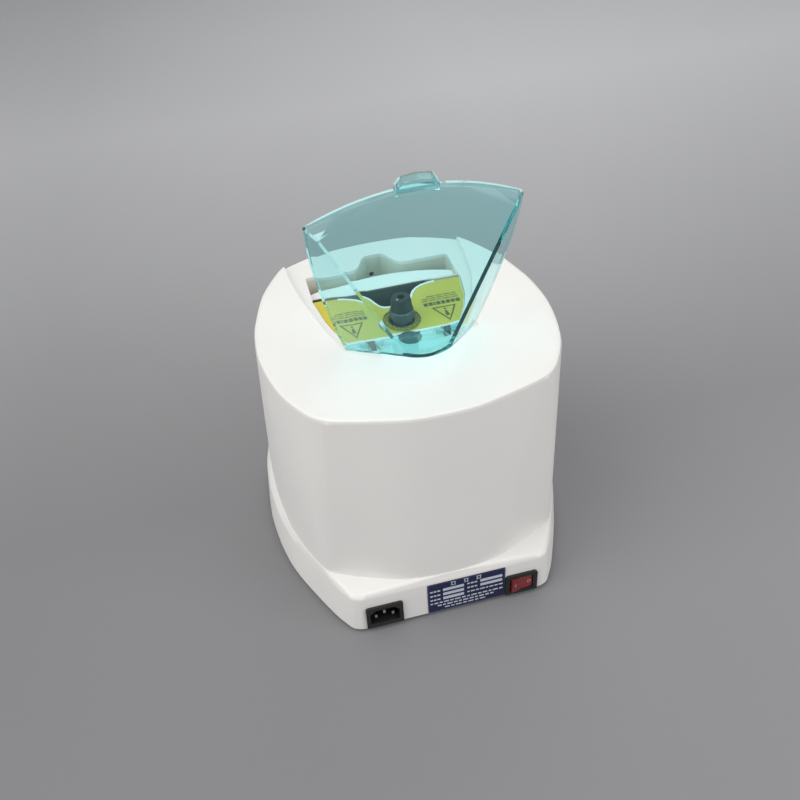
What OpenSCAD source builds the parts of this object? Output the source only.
// Enclosed bench vortex mixer.
// A pick-shaped housing stands on a wider plinth. A hinged clear lid, open at
// rest, covers the well and the orbiting drive head. The mains inlet, the
// rating plate and the power switch are on the plinth's flat rear face.
// Millimetres, +Z up, front towards -Y, origin under the middle of the box.

/* [Housing] */
// Height of the deck above the bench
deck_z = 215; // [180:1:250]
// Depth of the fan-shaped lid recess below the deck
recess_d = 5.5; // [4:0.5:8]
// Wall thickness of the moulded housing
wall = 3; // [2:0.5:5]
// Height of the plinth's top edge
plinth_z = 39.5; // [30:0.5:50]
// Height of the rubber feet
foot_h = 3; // [2:0.5:8]

/* [Lid] */
// Angle from closed to fully open
lid_open = 106; // [90:1:115]
// Length of the lid from its hinge line to the front arc
lid_len = 151; // [130:1:160]
// Height of the lid's crown above its rim
lid_crown = 47; // [35:1:55]
// Wall thickness of the clear lid
lid_wall = 2.4; // [1.5:0.1:4]
// Slope of the lid's rear face above its rim
lid_back = 52; // [45:1:60]
// Crown of the facet's rear end, mm
lid_bulge = 3.5; // [0:0.5:6]

/* [Drive] */
// Radius of the head's orbit
orbit_r = 2; // [1:0.5:4]
// Height of the drive head's top
head_top = 229.5; // [225:0.5:245]
// Radius of the accessory socket in the head
socket_r = 3; // [2:0.25:5]
// Motor can radius
motor_r = 33; // [25:1:36]

/* [Controls] */
// Width of the control pod on the front
pod_w = 96; // [80:1:110]
// Height of the control pod on the front
pod_h = 62; // [50:1:75]
// Tilt of the rocker at rest
rocker_tilt = 10; // [6:1:14]

/* [View] */
// Node to show

/* [Hidden] */
$fn = 64;
floor_z = deck_z - recess_d;
under_z = floor_z - wall;
plate_z = floor_z - 1.5;
body_z = 47;
well = [0, 13];
head = [well[0] - 0.6 * orbit_r, well[1] - 0.8 * orbit_r];
hinge = [0, 42.7, floor_z + 3.4];
rim_off = [2, 2.7];
blade_x = 29.6;
rear_y = 141.5;
pod_tilt = 7.5;
pod_at = [0, -134, 112];
inlet_at = [57.2, 17.6];
switch_at = [-59, 16.3];
foot_at = [[68, 112], [-68, 112], [86, -86], [-86, -86]];
pillar_at = [[62, 72], [-62, 72], [62, -52], [-62, -52]];
iso_at = [[42, well[1] + 42], [-42, well[1] + 42], [42, well[1] - 42], [-42, well[1] - 42]];

// Right halves of the plan outlines, from the middle of the rear to the
// middle of the front.
deck_pts = [[0,138.6],[25,137],[48,131.2],[67,125.6],[80,120.6],[89,113.5],
  [97,102],[106.6,82],[113.2,56],[116,33],[115.8,14],[114,-4],[110.8,-19],
  [102,-50],[87.2,-78],[77,-91],[62,-99],[46,-106],[30,-110.5],[0,-112.2]];
base_pts = [[0,139],[25,137.6],[42,134.3],[55,129.4],[67.6,124.2],[79,119],
  [87.5,114.4],[94,109.8],[98.6,103],[107.4,82],[115.2,56],[119.4,30],[121.6,6],[122,-14],
  [121.4,-34],[117,-62],[108,-90],[96,-109],[78,-124],[55,-134],
  [30,-139.5],[0,-141]];
plinth_pts = [[0,rear_y],[25,rear_y],[50,rear_y],[66,rear_y],[74,rear_y],
  [81,138.6],[85.5,132.5],[93,120],[106.5,90.5],[116.5,65],[122,43],
  [125.2,22],[127,0],[127,-16],[125.5,-38],[121,-62],[113,-88],[101,-109],
  [82,-128],[56,-139.5],[30,-143.5],[0,-144.6]];
recess_pts = [[0,70],[16,68.5],[31,63],[42,55.5],[52,48],[61.7,15.5],
  [66.6,-8],[72,-32],[76.2,-65],[77.5,-90]];

function cr(a, b, c, d, t) = 0.5 * (2 * b + (c - a) * t
  + (2 * a - 5 * b + 4 * c - d) * t * t + (3 * b - a - 3 * c + d) * t * t * t);
function half_curve(p, n) = [for (i = [0:len(p) - 2])
  let (a = i == 0 ? [-p[1][0], p[1][1]] : p[i - 1],
       d = i == len(p) - 2 ? [-p[i][0], p[i][1]] : p[i + 2])
  for (j = [0:n - 1]) cr(a, p[i], p[i + 1], d, j / n)];
function ring(p, n = 3) = let (r = half_curve(p, n), e = p[len(p) - 1])
  concat(r, [e], [for (i = [len(r) - 1:-1:1]) [-r[i][0], r[i][1]]]);
function pull(p, d, c = [0, 5]) = [for (q = p) let (v = q - c, l = norm(v)) c + v * (l - d) / l];
function wide(p, k) = [for (q = p) [q[0] * k, q[1]]];
function level(p) = [for (q = p) [q[0], min(q[1], rear_y)]];
function both(p) = concat(p, [for (i = [len(p) - 1:-1:0]) [-p[i][0], p[i][1]]]);

module slice(z, p) { translate([0, 0, z]) linear_extrude(0.01) polygon(p); }
module rbox(w, d, h, r) {
  linear_extrude(h) polygon([for (k = [0:3]) let (cx = (k == 0 || k == 3 ? 1 : -1) * (w / 2 - r), cy = (k < 2 ? 1 : -1) * (d / 2 - r))
    for (a = [0:15:90]) [cx + r * cos(a + 90 * k), cy + r * sin(a + 90 * k)]]);
}
module tube(ro, ri, h) { difference() { cylinder(r = ro, h = h); translate([0, 0, -1]) cylinder(r = ri, h = h + 2); } }
module on_pod() { translate(pod_at) rotate([90 - pod_tilt, 0, 0]) children(); }
module on_rear(c) { translate([c[0], rear_y, c[1]]) rotate([90, 0, 180]) children(); }

// ---- casings ----
module body_outer() {
  hull() {
    slice(body_z, ring(base_pts));
    slice(deck_z - 4, ring(deck_pts));
    slice(deck_z - 1.4, ring(pull(deck_pts, 1)));
    slice(deck_z - 0.01, ring(pull(deck_pts, 3.8)));
  }
}
module body_inner() {
  translate([0, 0, body_z - 1]) linear_extrude(4.005) polygon(ring(pull(base_pts, wall * 1.15)));
  hull() {
    slice(body_z + 3, ring(pull(base_pts, wall * 1.15)));
    slice(deck_z - wall, ring(pull(deck_pts, wall * 1.3)));
  }
}
// The opening: a straight-sided front bay with a finger notch, a slot and
// the round lobe in front of the head.
notch_pts = [[6.8,-91.3],[10.5,-88],[12.9,-82.5],[16.4,-75.2],[20.5,-72],[25.5,-71]];
module opening_2d() {
  polygon(both(concat(notch_pts, [[61, -71], [62.5, -69.5], [62.5, -34], [22, -34]])));
}
// Bell-shaped edge of the plate towards the head, grown outwards by d.
lobe_pts = [[40,-34],[34,-33.4],[28,-31.8],[22.8,-28.8],[18.6,-24.6],[16.2,-19.8],
  [14.2,-15.2],[11.6,-11.7],[8,-9.4],[3.6,-8.5],[0,-8.3]];
function lobe_line(d) = [for (i = [0:len(lobe_pts) - 1])
  let (a = lobe_pts[max(i - 1, 0)], b = lobe_pts[min(i + 1, len(lobe_pts) - 1)],
       t = (b - a) / norm(b - a)) lobe_pts[i] + d * [t[1], -t[0]]];
module lobe_2d(d = 0) { polygon(concat([[40 + d / 10, -36]], both(lobe_line(d)), [[-40 - d / 10, -36]])); }
module plate_2d(d = 0) {
  polygon(both([[63.3 - d, -34], [58.6 - d, -3], [54.5 - d, 12], [46.5 - d, 30.5 - d]]));
}
module upper_housing() {
  color([0.93, 0.92, 0.9]) difference() {
    body_outer();
    difference() {
      body_inner();
      translate([0, 0, under_z]) linear_extrude(30) polygon(ring_recess(wall));
      translate([0, 0, under_z - 4.5]) linear_extrude(6) polygon(both([[66.3, -37], [61.8, -3], [57.6, 12], [49.5, 33.5]]));
    }
    translate([0, 0, floor_z]) linear_extrude(20) polygon(ring_recess(0));
    translate([0, 0, floor_z - 20]) linear_extrude(40) opening_2d();
    translate([0, 0, floor_z - 20]) linear_extrude(40) lobe_2d();
    translate([0, 0, plate_z - 3]) linear_extrude(20) plate_2d();
    translate([well[0], well[1], floor_z - 20]) cylinder(r = 17, h = 40);
    for (s = [-1, 1]) {
      translate([s * blade_x - 3.4, 32.4, floor_z - 20]) cube([6.8, 16.6, 40]);
      for (y = [-14, 22]) translate([s * 40, y, floor_z - 20]) cylinder(r = 1.3, h = 40);
    }
    translate([0, 40, floor_z - 20]) cylinder(r = 6.2, h = 40);
    translate([0, 40, floor_z - 0.5]) cylinder(r = 9.8, h = 5);
    on_pod() translate([0, 0, -30]) rbox(pod_w + 0.4, pod_h + 0.4, 60, 5.2);
  }
}
function ring_recess(d) = both([for (q = concat(recess_pts, [[77.5, -160]])) [q[0] + d, q[1] + (q[1] > 20 ? d : 0)]]);
module base_plinth() {
  bottom = wide(plinth_pts, 1.025);
  color([0.91, 0.9, 0.88]) difference() {
    hull() {
      slice(foot_h, ring(pull(bottom, 1.1)));
      slice(foot_h + 1.2, level(ring(bottom)));
      slice(plinth_z, level(ring(plinth_pts)));
      slice(plinth_z + 2.6, ring(pull(plinth_pts, 1)));
      slice(plinth_z + 4.4, ring(pull(plinth_pts, 3)));
      slice(body_z - 0.01, ring(pull(base_pts, -0.6)));
    }
    hull() {
      slice(foot_h + 3, ring(pull(bottom, 4)));
      slice(plinth_z - 2, ring(pull(plinth_pts, 4)));
      slice(body_z + 1, ring(pull(base_pts, 9)));
    }
    for (f = foot_at) translate([f[0], f[1], 0]) cylinder(r = 2.1, h = 12);
    for (p = pillar_at) translate([p[0], p[1], 0]) cylinder(r = 2.1, h = 12);
    for (i = [-3:3]) translate([i * 12 - 2, -30, 0]) rbox_slot(4, 50, 12);
    on_rear(inlet_at) translate([-13.8, -10.3, -10]) cube([27.6, 20.6, 20]);
    on_rear(switch_at) translate([-12.4, -9.4, -10]) cube([24.8, 18.8, 20]);
  }
}
module rbox_slot(w, l, h) {
  translate([0, -l / 2, 0]) cube([w, l, h]);
  for (s = [-1, 1]) translate([w / 2, s * l / 2, 0]) cylinder(r = w / 2, h = h, $fn = 32);
}

// ---- the well ----
module front_well() {
  color([0.76, 0.74, 0.69]) for (s = [-1, 1]) translate([s * 61 - 1.6, -60, 188]) cube([3.2, 18, 9]);
  color([0.76, 0.74, 0.69]) difference() {
    translate([0, 0, 176]) linear_extrude(under_z - 176) polygon(both([[8.6, -94], [13, -90], [15.6, -83.5], [18.6, -77.2], [22, -74.6], [26, -73.6], [65.2, -73.6], [65.2, -39.5]]));
    translate([0, 0, 178.4]) linear_extrude(60) polygon(both(concat(notch_pts, [[61, -71], [62.5, -69.5], [62.5, -42.1]])));
    translate([2, -95, 190]) rotate([-90, 0, 0]) cylinder(r = 2.2, h = 12, $fn = 32);
  }
}
// Convex bar across the well, with a straight edge towards the head.
module well_bridge() {
  color([0.9, 0.9, 0.86]) translate([0, 0, 197]) linear_extrude(6.2)
    polygon(concat([[-62.2, -42.4], [62.2, -42.4]], [for (i = [0:30]) let (x = 62.2 - i * 124.4 / 30) [x, -54 - 12.5 * (1 - pow(x / 62.2, 2))]]));
}
module head_plate() {
  color([0.92, 0.91, 0.88]) difference() {
    translate([0, 0, plate_z - 3]) union() {
      linear_extrude(3) plate_2d(0.4);
      linear_extrude(4.2) intersection() { plate_2d(0.4); lobe_2d(2); }
    }
    translate([0, 0, plate_z - 5]) linear_extrude(20) lobe_2d();
    translate([well[0], well[1], plate_z - 5]) cylinder(r = 15.02, h = 20);
    for (s = [-1, 1]) for (y = [-14, 22]) translate([s * 40, y, plate_z - 5]) { cylinder(r = 1.6, h = 20); translate([0, 0, 3.4]) cylinder(r = 3.1, h = 20); }
  }
}
module caution_label() {
  color([0.86, 0.74, 0.25]) difference() {
    translate([0, 0, plate_z]) linear_extrude(0.4) plate_2d(1.2);
    translate([0, 0, plate_z - 1]) linear_extrude(5) lobe_2d(2.2);
    translate([well[0], well[1], plate_z - 1]) cylinder(r = 16, h = 5);
  }
}
// Ribbed rubber ring around the moving head.
module gaiter() {
  color([0.16, 0.17, 0.17]) translate([well[0], well[1], plate_z - 3]) rotate_extrude()
    polygon([[10.6, 2], [13.4, 2], [13.4, 0], [15, 0], [15, 3.1], [15.6, 3.1], [15.6, 3.9], [15, 4.3], [14.4, 3.7], [13.8, 4.3], [13.2, 3.7], [12.6, 4.3], [12, 3.7], [11.4, 4.2], [10.8, 3.7], [10.6, 3.6]]);
}
module plug_cap() {
  color([0.3, 0.42, 0.45]) translate([0, 40, floor_z - 4]) { cylinder(r = 6, h = 3.5); translate([0, 0, 3.5]) cylinder(r = 9.6, h = 0.6); }
}

// ---- the lid, drawn closed with its rim plane at Z = 0 and hinge end at Y = 0 ----
lid_pts = [[1, 50.3], [20, 55.6], [40, 60.2], [62, 65], [80, 68.3], [100, 71.2], [120, 72.9], [131, 73.2]];
function lid_side(d) = [for (q = lid_pts) [q[1] - d, -max(q[0], 1 + d)]];
function lid_arc(d) = [for (i = [1:8]) let (x = (73.2 - d) * (1 - i / 8)) [x, -(lid_len - d) + 0.00375 * x * x]];
function lid_rim(d) = both(concat(lid_side(d), lid_arc(d)));
function crown_slope() = atan((lid_crown - 5) / (lid_len - 37));
module lid_solid(d) {
  hull() {
    linear_extrude(3.2) polygon(lid_rim(d));
    // sloping top facet, narrowing towards the hinge
    translate([0, -(lid_len - d), 5 - d]) rotate([crown_slope(), 0, 0]) linear_extrude(0.01)
      polygon(both(concat([[66.5 - d, 22 / cos(crown_slope())], [16 - d, (lid_len - 38 - d) / cos(crown_slope())]])));
    translate([0, 0, 5 - d]) linear_extrude(0.01) polygon(both([[0.01, -(lid_len - d)], [30, -(lid_len - d) + 3.4], [52, -(lid_len - d) + 10.2]]));
    // crowned end of the facet
    translate([0, -38, 46.6]) rotate([54.8, 0, 0]) linear_extrude(0.01)
      polygon([for (i = [-8:8]) [(17 - 0.8 * d) * i / 8, lid_bulge * (1 - pow(i / 8, 2)) - 0.3 - d]]);
    // rounded rear face
    translate([0, -1 - d, 0]) rotate([-lid_back, 0, 0]) rotate([0, 0, 180]) linear_extrude(0.01)
      polygon([for (i = [-12:12]) let (x = (50 - d) * i / 12) [x, (60.5 - d) * (1 - pow(x / (50 - d), 2)) ]]);
  }
}
module place_lid() {
  translate(hinge) rotate([-lid_open, 0, 0]) translate([0, rim_off[0], -rim_off[1]]) children();
}
module lid_shell() {
  color([0.45, 0.82, 0.85, 0.45]) place_lid() difference() {
    union() {
      difference() {
        lid_solid(0);
        translate([0, 0, -0.02]) lid_solid(lid_wall);
        translate([0, -80, -9]) cube([200, 200, 18], center = true);
        translate([0, -80, -1]) linear_extrude(1.2) square([200, 200], center = true);
      }
      difference() {
        translate([0, 0, 0]) linear_extrude(3.3) polygon(lid_rim(0));
        translate([0, 0, -1]) linear_extrude(6) polygon(lid_rim(lid_wall));
      }
      tab();
      for (s = [-1, 1]) for (x = [20.6, 33.1]) translate([s > 0 ? x : -x - 5.6, -rim_off[0], rim_off[1]]) rotate([0, 90, 0]) cylinder(r = 3, h = 5.6, $fn = 48);
    }
    for (s = [-1, 1]) {
      translate([s * blade_x - 3.5, -16, -5]) cube([7, 25, 27]);
      translate([s * blade_x - 11, -rim_off[0], rim_off[1]]) rotate([0, 90, 0]) cylinder(r = 1.55, h = 22, $fn = 48);
    }
  }
}
module tab() {
  difference() {
    translate([0, -lid_len + 2, 0]) linear_extrude(6.5) polygon([[14.5, 0], [14, -5.5], [10.5, -10.4], [0, -12], [-10.5, -10.4], [-14, -5.5], [-14.5, 0]]);
    translate([0, -lid_len - 0.6, -1]) linear_extrude(5.7) polygon([[12, 0], [11.6, -2.6], [9, -6.2], [0, -7.4], [-9, -6.2], [-11.6, -2.6], [-12, 0]]);
  }
}

// ---- hinge ----
module hinge_blades() {
  color([0.18, 0.24, 0.3]) for (s = [-1, 1]) translate([s * blade_x - 2.9, 0, 0]) difference() {
    union() {
      translate([0, 32.8, floor_z - 9]) cube([5.8, 15.8, 8.9]);
      translate([-3.1, 33.9, under_z - 2.1]) cube([12, 18, 2.1]);
      translate([0, hinge[1] - 3, floor_z - 2]) cube([5.8, 6, hinge[2] - floor_z + 2]);
      translate([0, hinge[1], hinge[2]]) rotate([0, 90, 0]) cylinder(r = 3, h = 5.8);
    }
    translate([-1, hinge[1], hinge[2]]) rotate([0, 90, 0]) cylinder(r = 1.5, h = 8);
  }
}
module hinge_pins() {
  color([0.7, 0.71, 0.73]) for (s = [-1, 1]) translate([s * blade_x - 9.6, hinge[1], hinge[2]]) rotate([0, 90, 0]) cylinder(r = 1.5, h = 19.2);
}

// ---- drive head and crank ----
module drive_head() {
  color([0.12, 0.14, 0.15]) translate([head[0], head[1], 0]) rotate_extrude()
    polygon([[6.5, 162], [8.2, 162], [8.2, 209.4], [9.2, 209.9], [9.7, 210.6], [9.7, 217.4], [9.4, 218.2], [8.9, 218.6],
      [7.65, head_top - 1.3], [7.3, head_top - 0.5], [6.6, head_top], [socket_r, head_top], [socket_r, head_top - 12], [0, head_top - 12], [0, 184], [3.2, 184], [3.2, 180], [6.5, 180]]);
}
module head_bearing() {
  color([0.75, 0.76, 0.78]) translate([head[0], head[1], 163]) tube(6.5, 3.05, 16);
}
module crank() {
  color([0.62, 0.63, 0.65]) {
    translate([well[0], well[1], 146]) difference() {
      union() { cylinder(r = 11, h = 12); translate([head[0] - well[0], head[1] - well[1], 12]) { cylinder(r = 3, h = 22); cylinder(r = 4.5, h = 4.8); } }
      translate([0, 0, -1]) cylinder(r = 4, h = 9);
    }
  }
}
module counterweight() {
  color([0.55, 0.53, 0.5]) translate([well[0], well[1], 147]) intersection() {
    tube(22, 11, 10);
    rotate([0, 0, atan2(0.8, 0.6)]) translate([0, -30, -1]) cube([60, 60, 20]);
  }
}
module motor_shaft() { color([0.72, 0.73, 0.75]) translate([well[0], well[1], 66]) cylinder(r = 4, h = 88); }
module rotor_core() { color([0.45, 0.42, 0.4]) translate([well[0], well[1], 88]) tube(21.5, 4, 40); }
module stator_ring() { color([0.72, 0.45, 0.25]) translate([well[0], well[1], 84]) tube(motor_r - 2.5, 22.5, 48); }
module motor_can() { color([0.5, 0.52, 0.55]) translate([well[0], well[1], 76]) tube(motor_r, motor_r - 2.5, 60); }
module motor_base() {
  color([0.45, 0.47, 0.5]) translate([well[0], well[1], 73]) difference() {
    union() { rbox(74, 74, 3, 10); cylinder(r = motor_r - 2.6, h = 7); }
    translate([0, 0, -1]) cylinder(r = 8, h = 20);
    for (a = [45:90:315]) rotate(a) translate([42, 0, -1]) cylinder(r = 2.2, h = 8, $fn = 32);
  }
}
module motor_bell() {
  color([0.45, 0.47, 0.5]) translate([well[0], well[1], 136]) difference() {
    cylinder(r = motor_r, h = 7);
    translate([0, 0, -1]) cylinder(r = 8, h = 20);
  }
}
module motor_bearings() {
  color([0.78, 0.79, 0.8]) for (z = [73, 137]) translate([well[0], well[1], z]) tube(8, 4.05, 6);
}
module motor_bracket() {
  color([0.66, 0.67, 0.69]) translate([well[0], well[1], 70]) difference() {
    rbox(112, 112, 3, 12);
    translate([0, 0, -1]) cylinder(r = 10, h = 6);
    for (a = [45:90:315]) rotate(a) translate([42, 0, -1]) cylinder(r = 2.2, h = 8, $fn = 32);
  }
}
module isolators() {
  color([0.1, 0.1, 0.1]) for (p = iso_at) translate([p[0], p[1], 54])
    rotate_extrude() polygon([[0, 0], [8, 0], [8, 3], [6, 6], [6, 10], [8, 13], [8, 16], [0, 16]]);
}
module chassis_plate() {
  color([0.7, 0.71, 0.72]) translate([0, 10, 52]) difference() {
    rbox(156, 150, 2, 8);
    translate([0, 3, -1]) cylinder(r = 9, h = 4);
    for (p = pillar_at) translate([p[0], p[1] - 10, -1]) cylinder(r = 2.1, h = 4, $fn = 32);
  }
}
module pillars() {
  color([0.68, 0.68, 0.7]) for (p = pillar_at) translate([p[0], p[1], foot_h + 3]) tube(6, 1.9, 46);
}
module chassis_screws() {
  color([0.75, 0.75, 0.77]) for (p = pillar_at) translate([p[0], p[1], 44]) { cylinder(r = 1.9, h = 10); translate([0, 0, 10]) cylinder(r = 3.6, h = 2.4); }
}

// ---- electronics ----
module power_board() { color([0.1, 0.35, 0.2]) translate([-40, 72, 54]) cube([80, 1.6, 74]); }
module power_parts() {
  color([0.2, 0.2, 0.22]) {
    for (x = [-28, 26]) translate([x, 73.6, 110]) rotate([-90, 0, 0]) cylinder(r = 7, h = 22);
    translate([-18, 73.6, 66]) cube([36, 22, 30]);
    for (x = [-6, 8]) translate([x, 73.6, 102]) cube([6, 8, 20]);
  }
}
module control_board() { color([0.1, 0.35, 0.2]) on_pod() translate([0, 0, -12.6]) rbox(88, 54, 1.6, 3); }
module board_parts() {
  color([0.15, 0.15, 0.17]) on_pod() {
    translate([-31, 0, -11]) cube([62, 21, 5.4]);
    for (x = [-26, 0, 26]) translate([x, -14, -11]) { translate([-3, -3, 0]) cube([6, 6, 3.6]); cylinder(r = 1.7, h = 4.6, $fn = 32); }
  }
}
module control_bezel() {
  color([0.8, 0.8, 0.79]) on_pod() difference() {
    translate([0, 0, -12]) rbox(pod_w, pod_h, 12, 5);
    translate([0, 0, -20]) rbox(pod_w - 8, pod_h - 8, 19, 3);
    translate([0, 0, -5]) rbox(pod_w - 12, pod_h - 12, 10, 2.4);
  }
}
module control_panel() {
  color([0.25, 0.3, 0.36]) on_pod() difference() {
    translate([0, 0, -3]) rbox(pod_w - 8.2, pod_h - 8.2, 2, 3);
    translate([-33, 0, -5]) cube([66, 21, 10]);
    for (x = [-26, 0, 26]) translate([x, -14, -5]) cylinder(r = 6.3, h = 10);
  }
}
module display_window() { color([0.08, 0.05, 0.06]) on_pod() translate([-32.9, 0.1, -3]) cube([65.8, 20.8, 1.9]); }
module button(x) {
  color([0.75, 0.76, 0.78]) on_pod() translate([x, -14, 0]) rotate_extrude()
    polygon([[0, -4.8], [7.4, -4.8], [7.4, -3.5], [6, -3.5], [6, 0.6], [5.4, 1.2], [0, 1.2]]);
}
module button_left() { button(-26); }
module button_mid() { button(0); }
module button_right() { button(26); }

// ---- rear face ----
module inlet_outline(w, h, c) { polygon([[-w / 2, -h / 2], [w / 2, -h / 2], [w / 2, h / 2 - c], [w / 2 - c, h / 2], [-w / 2 + c, h / 2], [-w / 2, h / 2 - c]]); }
module inlet_body() {
  color([0.07, 0.07, 0.07]) on_rear(inlet_at) difference() {
    union() {
      linear_extrude(2) inlet_outline(30.7, 25, 1.4);
      translate([0, 0, -20]) linear_extrude(20) inlet_outline(27.2, 20, 4.5);
    }
    translate([0, 0, -16]) linear_extrude(30) inlet_outline(24.2, 16.6, 4.2);
    for (p = [[0, 1], [-7, -3], [7, -3]]) translate([p[0] - 1, p[1] - 2, -30]) cube([2, 4, 20]);
  }
}
module inlet_pins() {
  color([0.78, 0.78, 0.76]) on_rear(inlet_at) for (p = [[0, 1], [-7, -3], [7, -3]]) translate([p[0] - 1, p[1] - 2, -26]) cube([2, 4, 24.5]);
}
module switch_frame() {
  color([0.08, 0.08, 0.08]) on_rear(switch_at) difference() {
    union() {
      linear_extrude(2) inlet_outline(27.7, 23, 2);
      translate([-12.2, -9.2, -18]) cube([24.4, 18.4, 18]);
    }
    translate([-10.1, -7.7, -6]) cube([20.2, 15.4, 12]);
    translate([0, -8.9, -1]) rotate([-90, 0, 0]) cylinder(r = 1.56, h = 17.8, $fn = 48);
  }
}
module switch_rocker() {
  color([0.5, 0.1, 0.1]) on_rear(switch_at) translate([0, 0, -1]) rotate([0, rocker_tilt, 0]) {
    translate([0, 7.4, 0]) rotate([90, 0, 0]) linear_extrude(14.8) polygon([[-9.3, -1], [-9.3, 3.4], [-5, 3.2], [0, 2.5], [5, 3.2], [9.3, 3.4], [9.3, -1], [5, -4], [-5, -4]]);
    translate([0, -8.6, 0]) rotate([-90, 0, 0]) cylinder(r = 1.5, h = 17.2, $fn = 48);
  }
}
module rating_plate() {
  color([0.14, 0.16, 0.32]) on_rear([-12, 22.1]) rbox(66, 35.2, 0.5, 1);
}
module lid_sensor() {
  color([0.15, 0.16, 0.18]) translate([2, -106.8, 190]) rotate([-90, 0, 0]) { cylinder(r = 5, h = 12.8, $fn = 40); translate([0, 0, 12.8]) cylinder(r = 2, h = 2, $fn = 32); }
}

// ---- feet and screws ----
module feet() {
  color([0.12, 0.12, 0.12]) for (f = foot_at) translate([f[0], f[1], 0]) difference() {
    rotate_extrude() polygon([[0, 0], [10.6, 0], [11, 0.5], [10.2, foot_h], [0, foot_h]]);
    translate([0, 0, -1]) cylinder(r = 2.1, h = 8);
    translate([0, 0, -1]) cylinder(r = 4.2, h = 3);
  }
}
module foot_screws() {
  color([0.7, 0.7, 0.72]) for (f = foot_at) translate([f[0], f[1], 0]) {
    translate([0, 0, 1]) cylinder(r = 3.9, h = 1);
    translate([0, 0, 1]) cylinder(r = 1.9, h = 10);
    translate([0, 0, foot_h + 3]) rotate(30) cylinder(r = 4, h = 3.2, $fn = 6);
  }
}
module pillar_screws() {
  color([0.75, 0.75, 0.77]) for (p = pillar_at) translate([p[0], p[1], 0]) { translate([0, 0, 1.2]) cylinder(r = 3.6, h = foot_h - 1.2); translate([0, 0, 2]) cylinder(r = 1.9, h = 12); }
}
module motor_screws() {
  color([0.75, 0.75, 0.77]) translate([well[0], well[1], 0]) for (a = [45:90:315]) rotate(a) translate([42, 0, 68]) { cylinder(r = 2.2, h = 8); translate([0, 0, 8]) cylinder(r = 3.8, h = 3); }
}
module plate_screws() {
  color([0.8, 0.8, 0.8]) for (s = [-1, 1]) for (y = [-14, 22]) translate([s * 40, y, 0]) {
    translate([0, 0, plate_z - 9]) cylinder(r = 1.25, h = 8);
    translate([0, 0, plate_z - 1.6]) cylinder(r = 3, h = 1.4);
  }
}

base_plinth();
upper_housing();
front_well();
well_bridge();
head_plate();
caution_label();
gaiter();
plug_cap();
lid_shell();
hinge_blades();
hinge_pins();
drive_head();
head_bearing();
crank();
counterweight();
motor_shaft();
rotor_core();
stator_ring();
motor_can();
motor_base();
motor_bell();
motor_bearings();
motor_bracket();
isolators();
chassis_plate();
pillars();
chassis_screws();
power_board();
power_parts();
control_bezel();
control_panel();
display_window();
control_board();
board_parts();
button_left();
button_mid();
button_right();
inlet_body();
inlet_pins();
switch_frame();
switch_rocker();
rating_plate();
lid_sensor();
feet();
foot_screws();
plate_screws();
pillar_screws();
motor_screws();
